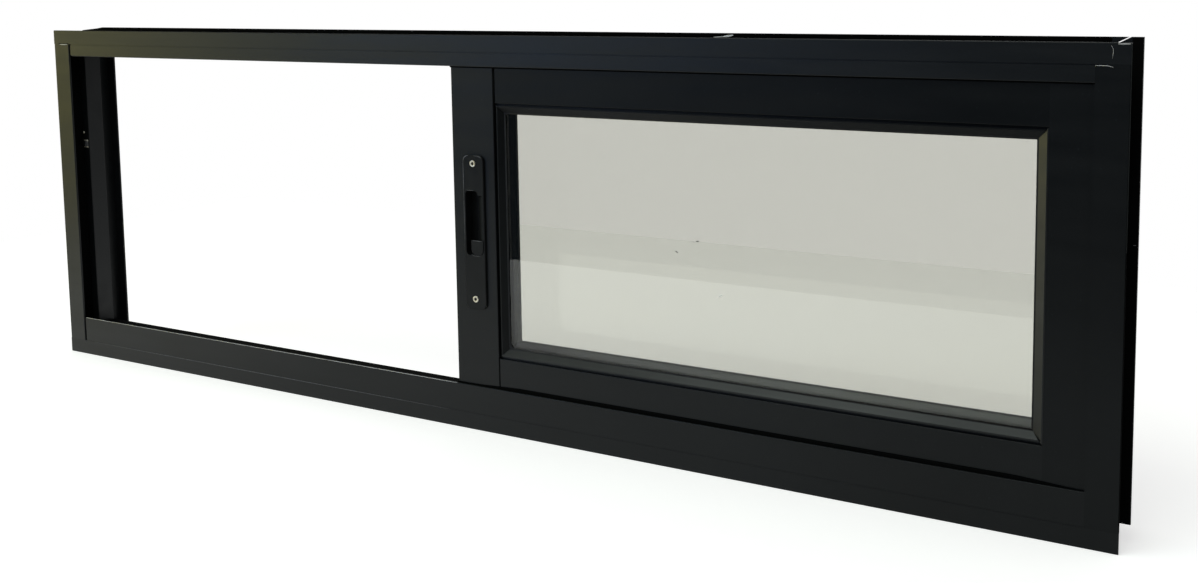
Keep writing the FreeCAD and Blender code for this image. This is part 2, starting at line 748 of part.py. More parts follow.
# Fixing holes in the fins of the head and the jambs
hole_low = size("jamb_hole_middle") - size("jamb_hole_spacing") / 2 - jamb_foot
hole_high = hole_low + size("jamb_hole_spacing")


def fin_holes(body, places):
    """Round holes through the fin alone, from a sketch on the body's front plane."""
    sketch = new_sketch(body, f"{body.Name}_fin_holes", "XZ_Plane", offset=-fin_front)
    for along in places:
        circle(sketch, (fin_edge + size("fin_hole_inset"), along), size("fin_hole_radius"))
    pocket(body, sketch, wall)


head_middle = size("frame_width") / 2
fin_holes(head, [head_middle - size("head_hole_spacing") / 2, head_middle + size("head_hole_spacing") / 2])
fin_holes(left_jamb, [hole_low, hole_high])
fin_holes(right_jamb, [jamb_length - hole_high, jamb_length - hole_low])

doc.recompute()

for thing in doc.Objects:
    if "Invalid" in thing.State or "Error" in thing.State:
        raise RuntimeError(f"{thing.Name} failed: {thing.State}")
for body in PARTS:
    if body.Shape.isNull() or not body.Shape.isValid():
        raise RuntimeError(f"{body.Label} has no valid shape")
    if len(body.Shape.Solids) != 1:
        raise RuntimeError(f"{body.Label} has {len(body.Shape.Solids)} solids")

os.makedirs("parts", exist_ok=True)
for body in PARTS:
    body.Shape.exportStep(f"parts/{body.Label}.step")
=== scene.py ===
"""Dresses a packed horizontal sliding window: paint, glass, rubber, screws, pile strips, seams, wear, and
painted shade, sheen and highlights.
"""

import json
import math

import bmesh
import bpy
import numpy as np
from bpy.props import FloatProperty, FloatVectorProperty, PointerProperty
from mathutils import Matrix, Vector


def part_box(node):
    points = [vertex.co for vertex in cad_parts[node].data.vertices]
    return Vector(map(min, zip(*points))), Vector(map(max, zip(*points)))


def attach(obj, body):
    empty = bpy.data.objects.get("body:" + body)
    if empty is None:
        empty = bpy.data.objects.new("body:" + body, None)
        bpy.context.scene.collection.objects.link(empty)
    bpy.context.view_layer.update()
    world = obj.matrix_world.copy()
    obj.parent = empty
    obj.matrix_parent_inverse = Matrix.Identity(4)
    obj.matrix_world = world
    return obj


bl_info = {
    "name": "Sliding Window Looks",
    "version": (1, 0, 0),
    "blender": (4, 5, 0),
    "location": "View3D > Sidebar > Window",
    "description": "Finishes and small trim of a horizontal sliding window",
    "category": "Object",
}

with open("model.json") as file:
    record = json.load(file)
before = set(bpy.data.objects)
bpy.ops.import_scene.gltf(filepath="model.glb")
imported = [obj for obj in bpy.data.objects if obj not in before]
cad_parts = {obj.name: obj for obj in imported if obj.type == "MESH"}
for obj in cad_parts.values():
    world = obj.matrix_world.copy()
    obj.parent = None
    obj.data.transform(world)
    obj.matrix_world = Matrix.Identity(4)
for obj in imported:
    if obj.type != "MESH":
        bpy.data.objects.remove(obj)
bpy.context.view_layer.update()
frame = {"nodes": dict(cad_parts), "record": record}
NODES = frame["nodes"]
BODY = "root"

# Frame sizes that no node's box shows, in metres
FRAME_WALL = 0.002
JAMB_WEB_INSET = 0.0157
LIP_END_GAP = 0.0032
SASH_REAR_GAP = 0.0044
FIXED_GAP = 0.0017
RIB_TOP = 0.034
FIN_SETBACK = 0.0245
FIN_SHOWN = 0.0083
FIN_REACH = 0.0032
LATCH_SLOT_RIGHT = 0.0052
LATCH_SCOOP_WIDTH = 0.0056
LATCH_SCOOP_DEPTH = 0.002
LATCH_SCOOP_LOW = -0.0187
LATCH_SCOOP_HIGH = 0.0377
SILL_BAND = 0.017
MILLIMETRES = 1000.0
# Where the painted shade on the head's fin starts, and over what length and from how far below it rises to
# its full height
FIN_SHADE_START = -0.612
FIN_SHADE_TAPER = 0.040
FIN_SHADE_DROP = 0.0034
# How far strips, piles, wedges and the sheets of painted shade and sheen stay clear of an edge, or reach past
# one, in metres
SHADE_STRIP_EDGE_GAP = 0.0002
SHADE_STRIP_FOOT_GAP = 0.0004
FIN_SHADE_END_LAP = 0.006
FLANGE_LAP = 0.0001
SHEEN_TOP_GAP = 0.004
PILE_END_GAP = 0.0004
PILE_ROOT = 0.006
RIB_SHADE_GAP = 0.0002
CHANNEL_SHADE_GAP = 0.0001
SEAM_LAP = 0.004
WEDGE_TUCK = 0.0014
CORNER_TUCK = 0.0006
CORNER_LAP = 0.001
# Thin linings and marks, the scoop's painted shade and the groove's painted glint among them: how far they
# stand off, and how thick or wide they are, in metres
SCOOP_LIFT = 0.00006
SCOOP_PROUD = 0.00002
SCOOP_LINING = 0.0001
SEAM_THICKNESS = 0.00012
# A painted glint along the lower lip of the sill's groove: its width, how far below the band's top it runs,
# and its span
GROOVE_WIDTH = 0.00035
GROOVE_DROP = 0.0004
GROOVE_SPAN = (-0.59, -0.03)
# Screw heads: how far each kind stands proud, in metres
LATCH_SCREW_DOME = 0.0009
KEEPER_SCREW_DOME = 0.0011
CORNER_SCREW_DOME = 0.0016
STAPLE_SCREW_DOME = 0.0008
# Power that squares an ellipse, and how many points a round corner, a pile, the head fin's painted shade and
# a painted highlight along an edge have
SQUARED = 0.4
CORNER_STEPS = 9
PILE_POINTS = 60
FIN_SHADE_POINTS = 80
EDGE_POINTS = 40
STROKE_POINTS = 14
# Bare marks on the front face: points across and up, and a width, all in millimetres
MARKS = (
    (((625.0, 398.9), (634.2, 399.0)), 0.6),
    (((619.9, 397.5), (621.1, 395.9), (621.7, 394.0), (621.5, 391.3), (621.0, 387.9)), 0.22),
    (((608.5, 382.3), (613.8, 382.3), (618.2, 382.2), (621.9, 381.2)), 0.33),
    (((-624.6, 383.0), (-610.3, 383.0)), 0.55),
)
# Scrapes on the head fin's strip of painted shade, a rubbed spot on the right fin's, and specks on the glass,
# in the same form
FIN_MARKS = (
    (((266.0, 399.5), (277.0, 399.9)), 0.7),
    (((275.5, 400.0), (281.0, 400.6), (286.0, 401.4)), 1.7),
)
FIN_SPOT = (((634.3, 241.8), (636.5, 241.8)), 0.8)
SPECKS = (
    (((232.4, 203.6), (235.4, 201.9)), 0.9),
    (((250.6, 213.6), (252.2, 213.6)), 0.6),
    (((254.2, 214.3), (257.6, 214.7)), 0.9),
)
SMEARS = ((((277.2, 165.2), (281.4, 167.6)), 1.6),)
# Painted highlights along the latch plate's edges in the same form, from the plate's middle
LATCH_HIGHLIGHTS = (
    (((-12.1, 71.0), (-12.1, 42.0)), 0.75),
    (((-12.1, 43.0), (-12.1, -8.0)), 0.5),
    (((-12.2, 70.0), (-11.7, 73.5), (-10.3, 75.6), (-8.2, 77.0), (-5.6, 77.4)), 0.8),
    (((1.5, 77.4), (5.6, 77.4), (8.2, 76.9), (10.0, 75.4)), 0.55),
    (((-9.0, 42.5), (0.5, 42.5)), 0.45),
    (((-4.0, -22.6), (-1.0, -23.5), (7.0, -23.6)), 0.6),
)
# Painted shadow of the joint over the left jamb's top, in the same form
JOINT_SHADOW = (((-627.0, 384.3), (-608.0, 384.3)), 0.7)

# The photograph's frame and lens, in its own pixels
IMAGE_WIDTH = 1198
IMAGE_HEIGHT = 583
FOCAL_PIXELS = 1463.3
OPTICAL_AXIS_ROW = 150.0
SENSOR_WIDTH = 36.0
# Where the camera stands and how it is turned
CAMERA_PLACE = (0.89916, -1.17139, 0.45515)
CAMERA_RIGHT = (0.838372, 0.544889, -0.015104)
CAMERA_UP = (-0.051566, 0.106863, 0.992935)

# The floor's edges, and how far it is lifted towards white to the camera and through glass
FLOOR_FRONT = -0.76
FLOOR_BACK = 1.0
FLOOR_SIDE = 1.4
FLOOR_LIFT = 0.48
GLASS_LIFT = 0.40
# The same lift in reflections, from the left to the right of a span of the floor
GLOSS_LIFTS = (0.66, 0.16)
GLOSS_SPAN = (-0.6, 0.6)
LAMPS = (
    # name, place, aims at, width, height, power, colour
    ("warm_softbox", (-2.9, -1.0, 0.6), (-0.3, 0.0, 0.2), 1.4, 1.4, 14.5, (1.0, 0.93, 0.32)),
    ("cool_softbox", (-1.9, -2.6, 0.9), (0.0, 0.0, 0.2), 1.6, 1.2, 14.0, (0.46, 0.64, 1.0)),
    ("overhead_softbox", (-0.2, -1.3, 2.4), (0.0, 0.0, 0.1), 2.6, 1.2, 24.0, (0.9, 1.0, 0.93)),
)
WHITE = (1.0, 1.0, 1.0)
WORLD_LEVEL = 0.55
# What glossy surfaces see of the studio: warm to the left, cool and dim in front, and white behind
GLOSS_WARM = (0.3, 0.29, 0.2)
GLOSS_COOL = (0.03, 0.04, 0.05)
# Between which parts of a unit direction the warm side and the white behind come in
WARM_TURN = (-0.62, -0.9)
WHITE_TURN = (0.55, 0.99)


def box(node):
    """Lowest and highest corner of a CAD node, as two arrays in metres."""
    low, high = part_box(node)
    return np.array(low), np.array(high)


def length(name, description, default):
    return FloatProperty(name=name, description=description, default=default, unit="LENGTH",
                         precision=5, min=0.0)


def colour(name, description, default):
    return FloatVectorProperty(name=name, description=description, default=default, subtype="COLOR",
                               min=0.0, max=1.0)


class WindowSizes(bpy.types.PropertyGroup):
    """Sizes of the small trim that the finishes add."""

    screw_radius: length("Latch screw radius", "Outer radius of a latch screw's head", 0.0034)
    screw_socket: length("Socket radius", "Radius of the socket in a latch screw", 0.0018)
    screw_inset: length("Latch screw inset", "From the latch plate's end to the screw's middle", 0.0094)
    screw_lift: length("Latch screw lift", "How far both latch screws sit above an even spacing", 0.001)
    keeper_screw_radius: length("Keeper screw radius", "Radius of a keeper screw's head", 0.0026)
    corner_screw_radius: length("Corner screw radius", "Radius of a frame corner screw's head", 0.0038)
    wedge_reach: length("Wedge reach", "How far the rubber wedge laps onto the glass", 0.0016)
    wedge_height: length("Wedge height", "How far the rubber wedge stands off the glass", 0.0012)
    tight_corner: length("Wedge corner", "Inner corner radius of a rubber wedge", 0.0004)
    loose_corner: length("Loose wedge corner", "Radius where the sash's wedge lifts, lower left", 0.008)
    pile_thickness: length("Pile thickness", "Thickness of a pile strip between sash and frame", 0.0012)
    sill_pile_rise: length("Sill pile rise", "How far the sill's pile stands over the front upstand", 0.0034)
    head_pile_drop: length("Head pile drop", "How far the head's pile hangs under the front lip", 0.0014)
    # A dull black strip paints in the shade over the sill's rib; this is its thickness
    rib_shade_rise: length("Rib cover rise", "Thickness of the rubber cover on the sill's rib", 0.0009)
    seam_top: length("Seam width at top", "Width of the dark joint between lock stile and top rail", 0.0026)
    seam_foot: length("Seam width at foot", "Width of the joint between lock stile and bottom rail", 0.0013)
    mark_thickness: length("Mark thickness", "Half thickness of a bare mark on the paint", 0.00008)
    # The upstand's top edge carries a painted highlight; this is its radius
    edge_highlight_radius: length("Worn edge", "Radius of the rubbed edge along the sill's upstand", 0.00018)
    # The fins' and the right flange edge's dark strips are painted shade; this is their half thickness
    shade_strip_thickness: length("Tape thickness", "Half thickness of the sealing tape on the fins", 0.0003)
    # A dull black sheet paints in the shade of the left jamb's channel; this is its thickness
    channel_shade_thickness: length("Liner thickness", "Thickness of the liner in the left jamb's channel", 0.0006)
    staple_bar: length("Staple bar", "Half height of a bar of the keeper's staple", 0.0007)


class WindowColours(bpy.types.PropertyGroup):
    """Colours of the finishes."""

    coat: colour("Powder coat", "Black satin coat on frame and panels", (0.0026, 0.0033, 0.0038))
    latch: colour("Latch paint", "Black paint on the latch", (0.004, 0.0044, 0.0046))
    rubber: colour("Rubber", "Glazing rubber", (0.0075, 0.0075, 0.0075))
    # Also the dull black of the strips that paint in shade, and of the keeper
    seal: colour("Seal", "Dull black pile, tape and joint filler", (0.0012, 0.0014, 0.0014))
    glass: colour("Glass", "Tint of one pane", (0.807, 0.807, 0.769))
    zinc: colour("Zinc", "Plated screws and staple", (0.82, 0.80, 0.72))
    # Also the grey of the painted highlight along the sill upstand's edge
    bare: colour("Bare metal", "Aluminium where the coat is scratched off", (0.72, 0.72, 0.7))
    # Also the grey of the painted highlights on the latch's edges and in the sill's groove
    worn: colour("Worn coat", "Black coat rubbed grey on an edge", (0.085, 0.088, 0.094))
    nylon: colour("Nylon", "Rollers", (0.62, 0.61, 0.56))
    plastic: colour("Plastic", "Packers and roller cages", (0.03, 0.03, 0.03))
    floor: colour("Floor", "Studio floor", (0.8, 0.8, 0.79))


def sizes():
    return bpy.context.scene.window_sizes


def colours():
    return bpy.context.scene.window_colours


# Node helpers
def new_finish(name):
    """A material with one Principled shader, its tree and an Object coordinate to read patterns by."""
    material = bpy.data.materials.new(name)
    material.use_nodes = True
    tree = material.node_tree
    shader = tree.nodes["Principled BSDF"]
    place = tree.nodes.new("ShaderNodeTexCoord").outputs["Object"]
    return material, tree, shader, place


def noise(tree, place, scale, detail=2.0, stretch=(1.0, 1.0, 1.0)):
    """Noise of that many waves a metre, drawn out along an axis where stretch is small."""
    turn = tree.nodes.new("ShaderNodeMapping")
    turn.inputs["Scale"].default_value = stretch
    tree.links.new(place, turn.inputs["Vector"])
    node = tree.nodes.new("ShaderNodeTexNoise")
    node.inputs["Scale"].default_value = scale
    node.inputs["Detail"].default_value = detail
    tree.links.new(turn.outputs["Vector"], node.inputs["Vector"])
    return node.outputs["Fac"]


def spread(tree, value, low, high, to_low, to_high):
    """The value between low and high carried to the range from to_low to to_high."""
    node = tree.nodes.new("ShaderNodeMapRange")
    node.inputs["From Min"].default_value = low
    node.inputs["From Max"].default_value = high
    node.inputs["To Min"].default_value = to_low
    node.inputs["To Max"].default_value = to_high
    tree.links.new(value, node.inputs["Value"])
    return node.outputs["Result"]


def mixed(tree, factor, first, second):
    """A colour between two colours, each a tuple or a socket."""
    node = tree.nodes.new("ShaderNodeMix")
    node.data_type = "RGBA"
    tree.links.new(factor, node.inputs["Factor"])
    for socket, value in ((node.inputs[6], first), (node.inputs[7], second)):
        if isinstance(value, bpy.types.NodeSocket):
            tree.links.new(value, socket)
        else:
            socket.default_value = (*value, 1.0)
    return node.outputs[2]


def bumped(tree, shader, height, strength, distance):
    node = tree.nodes.new("ShaderNodeBump")
    node.inputs["Strength"].default_value = strength
    node.inputs["Distance"].default_value = distance
    tree.links.new(height, node.inputs["Height"])
    tree.links.new(node.outputs["Normal"], shader.inputs["Normal"])


def scaled(value, factor):
    return tuple(min(1.0, part * factor) for part in value)


def powder_coat(name, specular):
    """Satin black coat: fine orange peel, cloudy dust, long wiping streaks and a few pale specks. The
    specular level, given per copy, paints in how much sheen each part shows.
    """
    material, tree, shader, place = new_finish(name)
    base = tuple(colours().coat)
    clouds = spread(tree, noise(tree, place, 5.0, 4.0), 0.3, 0.7, 0.0, 1.0)
    specks = spread(tree, noise(tree, place, 420.0, 1.0), 0.72, 0.8, 0.0, 0.5)
    tone = mixed(tree, clouds, scaled(base, 0.8), scaled(base, 1.35))
    tree.links.new(mixed(tree, specks, tone, scaled(base, 5.0)), shader.inputs["Base Color"])
    streaks = noise(tree, place, 60.0, 3.0, (0.12, 1.0, 1.0))
    tree.links.new(spread(tree, streaks, 0.3, 0.7, 0.34, 0.46), shader.inputs["Roughness"])
    shader.inputs["Specular IOR Level"].default_value = specular
    bumped(tree, shader, noise(tree, place, 1100.0, 2.0), 0.16, 0.0002)
    return material


def latch_paint():
    """Smooth black paint on a casting, with soft ripples."""
    material, tree, shader, place = new_finish("latch_paint")
    base = tuple(colours().latch)
    clouds = spread(tree, noise(tree, place, 40.0, 3.0), 0.3, 0.7, 0.0, 1.0)
    tree.links.new(mixed(tree, clouds, scaled(base, 0.8), scaled(base, 1.4)), shader.inputs["Base Color"])
    tree.links.new(spread(tree, noise(tree, place, 90.0), 0.3, 0.7, 0.32, 0.42), shader.inputs["Roughness"])
    shader.inputs["Specular IOR Level"].default_value = 0.22
    bumped(tree, shader, noise(tree, place, 900.0), 0.03, 0.0001)
    return material


def scoop_painted_shade():
    """Painted shade in the latch's finger scoop: dull, from near black at the slot to the plate's grey."""
    material, tree, shader, place = new_finish("scoop_painted_shade")
    base = tuple(colours().latch)
    parts = tree.nodes.new("ShaderNodeSeparateXYZ")
    tree.links.new(place, parts.inputs["Vector"])
    low, high = box("latch_plate")
    start = (low[0] + high[0]) / 2 + LATCH_SLOT_RIGHT
    shade = spread(tree, parts.outputs["X"], start, start + LATCH_SCOOP_WIDTH, 0.0, 1.0)
    tree.links.new(mixed(tree, shade, scaled(base, 0.3), scaled(base, 4.0)), shader.inputs["Base Color"])
    shader.inputs["Roughness"].default_value = 0.9
    shader.inputs["Specular IOR Level"].default_value = 0.05
    return material


def worn_and_highlight_coat():
    """Black coat rubbed grey along an edge, uneven along its length, and the same grey painted as highlights
    on the latch's edges and in the sill's groove.
    """
    material, tree, shader, place = new_finish("worn_and_highlight_coat")
    base = tuple(colours().worn)
    rubs = spread(tree, noise(tree, place, 240.0, 3.0), 0.3, 0.7, 0.0, 1.0)
    tree.links.new(mixed(tree, rubs, scaled(base, 0.6), scaled(base, 1.4)), shader.inputs["Base Color"])
    shader.inputs["Roughness"].default_value = 0.5
    shader.inputs["Specular IOR Level"].default_value = 0.2
    bumped(tree, shader, noise(tree, place, 1400.0), 0.1, 0.0001)
    return material


def float_glass():
    """Clear float glass, faintly tinted, with dry wiping marks that only dull it."""
    material, tree, shader, place = new_finish("float_glass")
    shader.inputs["Base Color"].default_value = (*colours().glass, 1.0)
    shader.inputs["Transmission Weight"].default_value = 1.0
    shader.inputs["IOR"].default_value = 1.56
    wipes = noise(tree, place, 14.0, 4.0, (0.25, 1.0, 1.0))
    tree.links.new(spread(tree, wipes, 0.5, 0.75, 0.0, 0.03), shader.inputs["Roughness"])
    return material


def rubber():
    """Matt black rubber with a fine skin."""
    material, tree, shader, place = new_finish("glazing_rubber")
    base = tuple(colours().rubber)
    clouds = spread(tree, noise(tree, place, 90.0, 3.0), 0.3, 0.7, 0.0, 1.0)
    tree.links.new(mixed(tree, clouds, base, scaled(base, 1.8)), shader.inputs["Base Color"])
    shader.inputs["Roughness"].default_value = 0.55
    shader.inputs["Specular IOR Level"].default_value = 0.3
    bumped(tree, shader, noise(tree, place, 2200.0), 0.2, 0.0001)
    return material


def dull_seal_and_shade(name, base):
    """Dull pile, and the dull black of the strips that paint in shade: fine strands across the strip, and
    hardly any gloss.
    """
    material, tree, shader, place = new_finish(name)
    strands = noise(tree, place, 2600.0, 2.0, (1.0, 0.1, 1.0))
    tree.links.new(mixed(tree, strands, scaled(base, 0.5), scaled(base, 1.6)), shader.inputs["Base Color"])
    tree.links.new(spread(tree, strands, 0.3, 0.7, 0.85, 0.98), shader.inputs["Roughness"])
    shader.inputs["Specular IOR Level"].default_value = 0.04
    bumped(tree, shader, strands, 0.4, 0.0003)
    return material


def zinc_plate():
    """Bright zinc plate with a faint yellow cast and fine turning marks."""
    material, tree, shader, place = new_finish("zinc_plate")
    base = tuple(colours().zinc)
    stain = spread(tree, noise(tree, place, 260.0, 3.0), 0.35, 0.7, 0.0, 1.0)
    tree.links.new(mixed(tree, stain, base, (0.7, 0.6, 0.42)), shader.inputs["Base Color"])
    shader.inputs["Metallic"].default_value = 0.75
    tree.links.new(spread(tree, noise(tree, place, 900.0), 0.3, 0.7, 0.28, 0.45), shader.inputs["Roughness"])
    bumped(tree, shader, noise(tree, place, 1500.0), 0.08, 0.0001)
    return material


def bare_metal_and_highlight():
    """Dull bare aluminium where the coat is scraped off, and the same grey painted as a highlight along the
    sill upstand's edge.
    """
    material, tree, shader, place = new_finish("bare_metal_and_highlight")
    base = tuple(colours().bare)
    scrapes = noise(tree, place, 900.0, 3.0, (0.1, 1.0, 1.0))
    tree.links.new(mixed(tree, scrapes, scaled(base, 0.55), scaled(base, 1.2)), shader.inputs["Base Color"])
    shader.inputs["Metallic"].default_value = 0.2
    tree.links.new(spread(tree, scrapes, 0.3, 0.7, 0.4, 0.6), shader.inputs["Roughness"])
    bumped(tree, shader, scrapes, 0.2, 0.0001)
    return material


def moulded(name, base, roughness):
    """Moulded plastic with a slight grain and uneven gloss."""
    material, tree, shader, place = new_finish(name)
    clouds = spread(tree, noise(tree, place, 120.0, 3.0), 0.3, 0.7, 0.0, 1.0)
    tree.links.new(mixed(tree, clouds, scaled(base, 0.85), scaled(base, 1.1)), shader.inputs["Base Color"])
    gloss = noise(tree, place, 240.0)
    uneven = spread(tree, gloss, 0.3, 0.7, roughness - 0.06, roughness + 0.06)
    tree.links.new(uneven, shader.inputs["Roughness"])
    bumped(tree, shader, noise(tree, place, 1800.0), 0.1, 0.0001)
    return material


# Copies of one satin black coat that differ only in specular level, set part by part to the sheen each part
# shows in this light: painted sheen
FINISHES = {
    "head_sheen_coat": lambda: powder_coat("head_sheen_coat", 0.4),
    "frame_coat": lambda: powder_coat("frame_coat", 0.3),
    "panel_sheen_coat": lambda: powder_coat("panel_sheen_coat", 0.2),
    "side_sheen_coat": lambda: powder_coat("side_sheen_coat", 0.26),
    "jamb_sheen_coat": lambda: powder_coat("jamb_sheen_coat", 0.35),
    "bead_sheen_coat": lambda: powder_coat("bead_sheen_coat", 0.5),
    "lower_bead_sheen_coat": lambda: powder_coat("lower_bead_sheen_coat", 0.85),
    "latch_paint": latch_paint,
    "scoop_painted_shade": scoop_painted_shade,
    "worn_and_highlight_coat": worn_and_highlight_coat,
    "float_glass": float_glass,
    "glazing_rubber": rubber,
    "dull_seal_and_shade": lambda: dull_seal_and_shade("dull_seal_and_shade", tuple(colours().seal)),
    "painted_sheen_grey": lambda: dull_seal_and_shade("painted_sheen_grey", scaled(tuple(colours().seal), 12.0)),
    "zinc_plate": zinc_plate,
    "bare_metal_and_highlight": bare_metal_and_highlight,
    "nylon": lambda: moulded("nylon", tuple(colours().nylon), 0.45),
    "black_plastic": lambda: moulded("black_plastic", tuple(colours().plastic), 0.5),
}
SLOT_FINISH = {
    "frame": "frame_coat", "panel": "panel_sheen_coat", "glass": "float_glass", "gasket": "glazing_rubber",
    "nylon": "nylon", "packer": "black_plastic", "latch": "latch_paint", "steel": "zinc_plate",
}
NODE_FINISH = {
    # The keeper is black, and its dull finish also paints in the shade of the channel it sits in
    "keeper": "dull_seal_and_shade", "head": "head_sheen_coat", "left_jamb": "jamb_sheen_coat", "right_jamb": "side_sheen_coat",
    "sash_lock_stile": "frame_coat", "sash_bottom_rail": "frame_coat", "sash_pull_stile": "side_sheen_coat",
    "sash_right_bead": "bead_sheen_coat", "sash_bottom_bead": "bead_sheen_coat",
    "fixed_bottom_bead": "lower_bead_sheen_coat",
}


def finish(name):
    """The named material, made the first time it is asked for."""
    return bpy.data.materials.get(name) or FINISHES[name]()


# Mesh helpers
def closed_ends(grid):
    """The grid with a row added at each end, gathered to the middle of that end's section."""
    first = np.broadcast_to(grid[:1].mean(1, keepdims=True), grid[:1].shape)
    last = np.broadcast_to(grid[-1:].mean(1, keepdims=True), grid[-1:].shape)
    return np.concatenate([first, grid, last])


def grid_faces(shape, wrap_rows, wrap_columns):
    """Quads between neighbours of a grid of that many rows and columns; wrap joins its last to its first."""
    index = np.arange(shape[0] * shape[1]).reshape(shape)
    if wrap_rows:
        index = np.concatenate([index, index[:1]])
    if wrap_columns:
        index = np.concatenate([index, index[:, :1]], axis=1)
    corners = [index[:-1, :-1], index[:-1, 1:], index[1:, 1:], index[1:, :-1]]
    return np.stack(corners, -1).reshape(-1, 4)


def add_piece(name, grids, finish_name, wrap_rows=False, smooth=True):
    """One piece of the window from grids of points, each rows by columns by three, merged where they meet."""
    points = []
    faces = []
    start = 0
    for grid in grids:
        faces.append(grid_faces(grid.shape[:2], wrap_rows, True) + start)
        points.append(grid.reshape(-1, 3))
        start += len(points[-1])
    mesh = bpy.data.meshes.new(name)
    mesh.from_pydata(np.concatenate(points).tolist(), [], np.concatenate(faces).tolist())
    work = bmesh.new()
    work.from_mesh(mesh)
    bmesh.ops.remove_doubles(work, verts=work.verts, dist=1e-7)
    bmesh.ops.recalc_face_normals(work, faces=work.faces)
    work.to_mesh(mesh)
    work.free()
    mesh.validate()
    mesh.polygons.foreach_set("use_smooth", np.full(len(mesh.polygons), smooth))
    mesh.materials.append(finish(finish_name))
    piece = bpy.data.objects.new(name, mesh)
    bpy.context.scene.collection.objects.link(piece)
    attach(piece, BODY)


def swept(path, side, up, profile):
    """A profile of (side, up) offsets carried along a path: each point plus its two directions, scaled."""
    path, side, up = (np.broadcast_to(np.asarray(part, float), np.shape(path)) for part in (path, side, up))
    return path[:, None] + side[:, None] * profile[None, :, :1] + up[:, None] * profile[None, :, 1:]


def strip(path, across, out, half_widths, half_thick, power=1.0):
    """A thin closed strip along a path: at each path point an ellipse, half_widths wide along across and
    half_thick along out.  Its sine and cosine are raised to a power, and a low power squares the ellipse."""
    path = np.asarray(path, float)
    turn = np.linspace(0, 2 * math.pi, 16, endpoint=False)[None, :, None]
    cosine, sine = (np.sign(wave) * np.abs(wave) ** power for wave in (np.cos(turn), np.sin(turn)))
    wide = np.broadcast_to(half_widths, len(path))[:, None, None] * cosine * np.array(across, float)
    thick = half_thick * sine * np.array(out, float)
    return closed_ends(path[:, None, :] + wide + thick)


def upright_strip(along, depth, low, high, half_thick):
    """A standing strip along the first axis: at each point a squared ellipse between heights low and high."""
    low, high = np.broadcast_to(low, len(along)), np.broadcast_to(high, len(along))
    path = np.stack([along, np.full(len(along), depth), (low + high) / 2], -1)
    return strip(path, (0, 0, 1), (0, 1, 0), (high - low) / 2, half_thick, SQUARED)


def standing_strip(across, depth, low, high, half_width, half_thick, facing_side):
    """A strip that stands along the third axis from low to high, flat on a face: half_width wide along
    the face and half_thick out of it.  The face looks along the first axis where facing_side is true."""
    height = np.linspace(low, high, 5)
    path = np.stack([np.full(5, across), np.full(5, depth), height], -1)
    wide, out = ((0, 1, 0), (1, 0, 0)) if facing_side else ((1, 0, 0), (0, 1, 0))
    return strip(path, wide, out, half_width, half_thick, SQUARED)


def front_stroke(points, depth, width, thick, pointed):
    """A thin stroke on an upright face: points spaced along a broken line at that depth, each with an ellipse
    of the stroke's width, square to the line's mean direction.  A pointed stroke narrows to both ends as a
    flattened half sine.  Points and width are in millimetres."""
    corners = np.array(points) / MILLIMETRES
    share = np.linspace(0, 1, STROKE_POINTS)
    along = np.linspace(0, 1, len(corners))
    flat = np.stack([np.interp(share, along, corners[:, axis]) for axis in (0, 1)], -1)
    way = np.gradient(flat, axis=0).mean(0)
    across = np.array((-way[1], 0.0, way[0])) / np.linalg.norm(way)
    taper = np.sin(np.pi * np.clip(share, 0.06, 0.94)) ** 0.4 if pointed else np.ones(STROKE_POINTS)
    return strip(upright(flat, depth), across, (0, 1, 0), width / 2 / MILLIMETRES * taper, thick)


def corner_fill(arc, corner, back, rise):
    """A plate between an arc and the square corner round it: each row runs from the arc to the corner on the
    front, and back again at its foot."""
    square = np.broadcast_to(np.array(corner) - CORNER_TUCK, arc.shape)
    front = back - rise * 0.95
    columns = (upright(arc, front), upright(square, front), upright(square, back), upright(arc, back))
    return closed_ends(np.stack(columns, 1))


def rounded_loop(low, high, radii):
    """A rectangle with round corners in the plane of the first and third axes: a quarter turn about each
    corner's centre, corner after corner from the upper right to the lower right.  Gives the points and the
    outward directions."""
    turn = np.arange(4)[:, None] * math.pi / 2 + np.linspace(0, math.pi / 2, CORNER_STEPS)[None, :]
    outward = np.stack([np.cos(turn), np.sin(turn)], -1).reshape(-1, 2)
    signs = np.repeat(np.array([[1, 1], [-1, 1], [-1, -1], [1, -1]]), CORNER_STEPS, axis=0)
    middle = (np.array(low) + np.array(high)) / 2
    corner = np.repeat(np.array(radii), CORNER_STEPS)[:, None]
    half = (np.array(high) - np.array(low)) / 2 - corner
    points = middle + signs * half + outward * corner
    return points, outward


def upright(flat, depth):
    """Points of the first and third axes set at a depth on the second."""
    flat = np.asarray(flat, float)
    return np.stack([flat[..., 0], np.full(flat.shape[:-1], depth), flat[..., 1]], -1)


def socket_screw(middle, facing, across, radius, socket, dome):
    """A screw head turned about its axis: height over radius runs up the rim, over a dome, and down the
    socket's wall to its floor.  Rows follow the profile, columns the turn."""
    facing, across = np.array(facing, float), np.array(across, float)
    third = np.cross(facing, across)
    rise = np.linspace(0, math.pi / 2, 6)
    rim = np.stack([radius - dome * 0.6 * (1 - np.cos(rise)), dome * np.sin(rise)], -1)
    lip = np.array([[socket * 1.12, dome], [socket, dome * 0.86],
                    [socket * 0.96, -dome * 0.4], [0.0, -dome * 0.5]])
    profile = np.concatenate([[[radius, -dome * 0.2]], rim, lip])
    turn = np.linspace(0, 2 * math.pi, 28, endpoint=False)
    ring = np.cos(turn)[:, None] * across + np.sin(turn)[:, None] * third
    return np.array(middle) + profile[:, None, :1] * ring[None] + profile[:, None, 1:] * facing


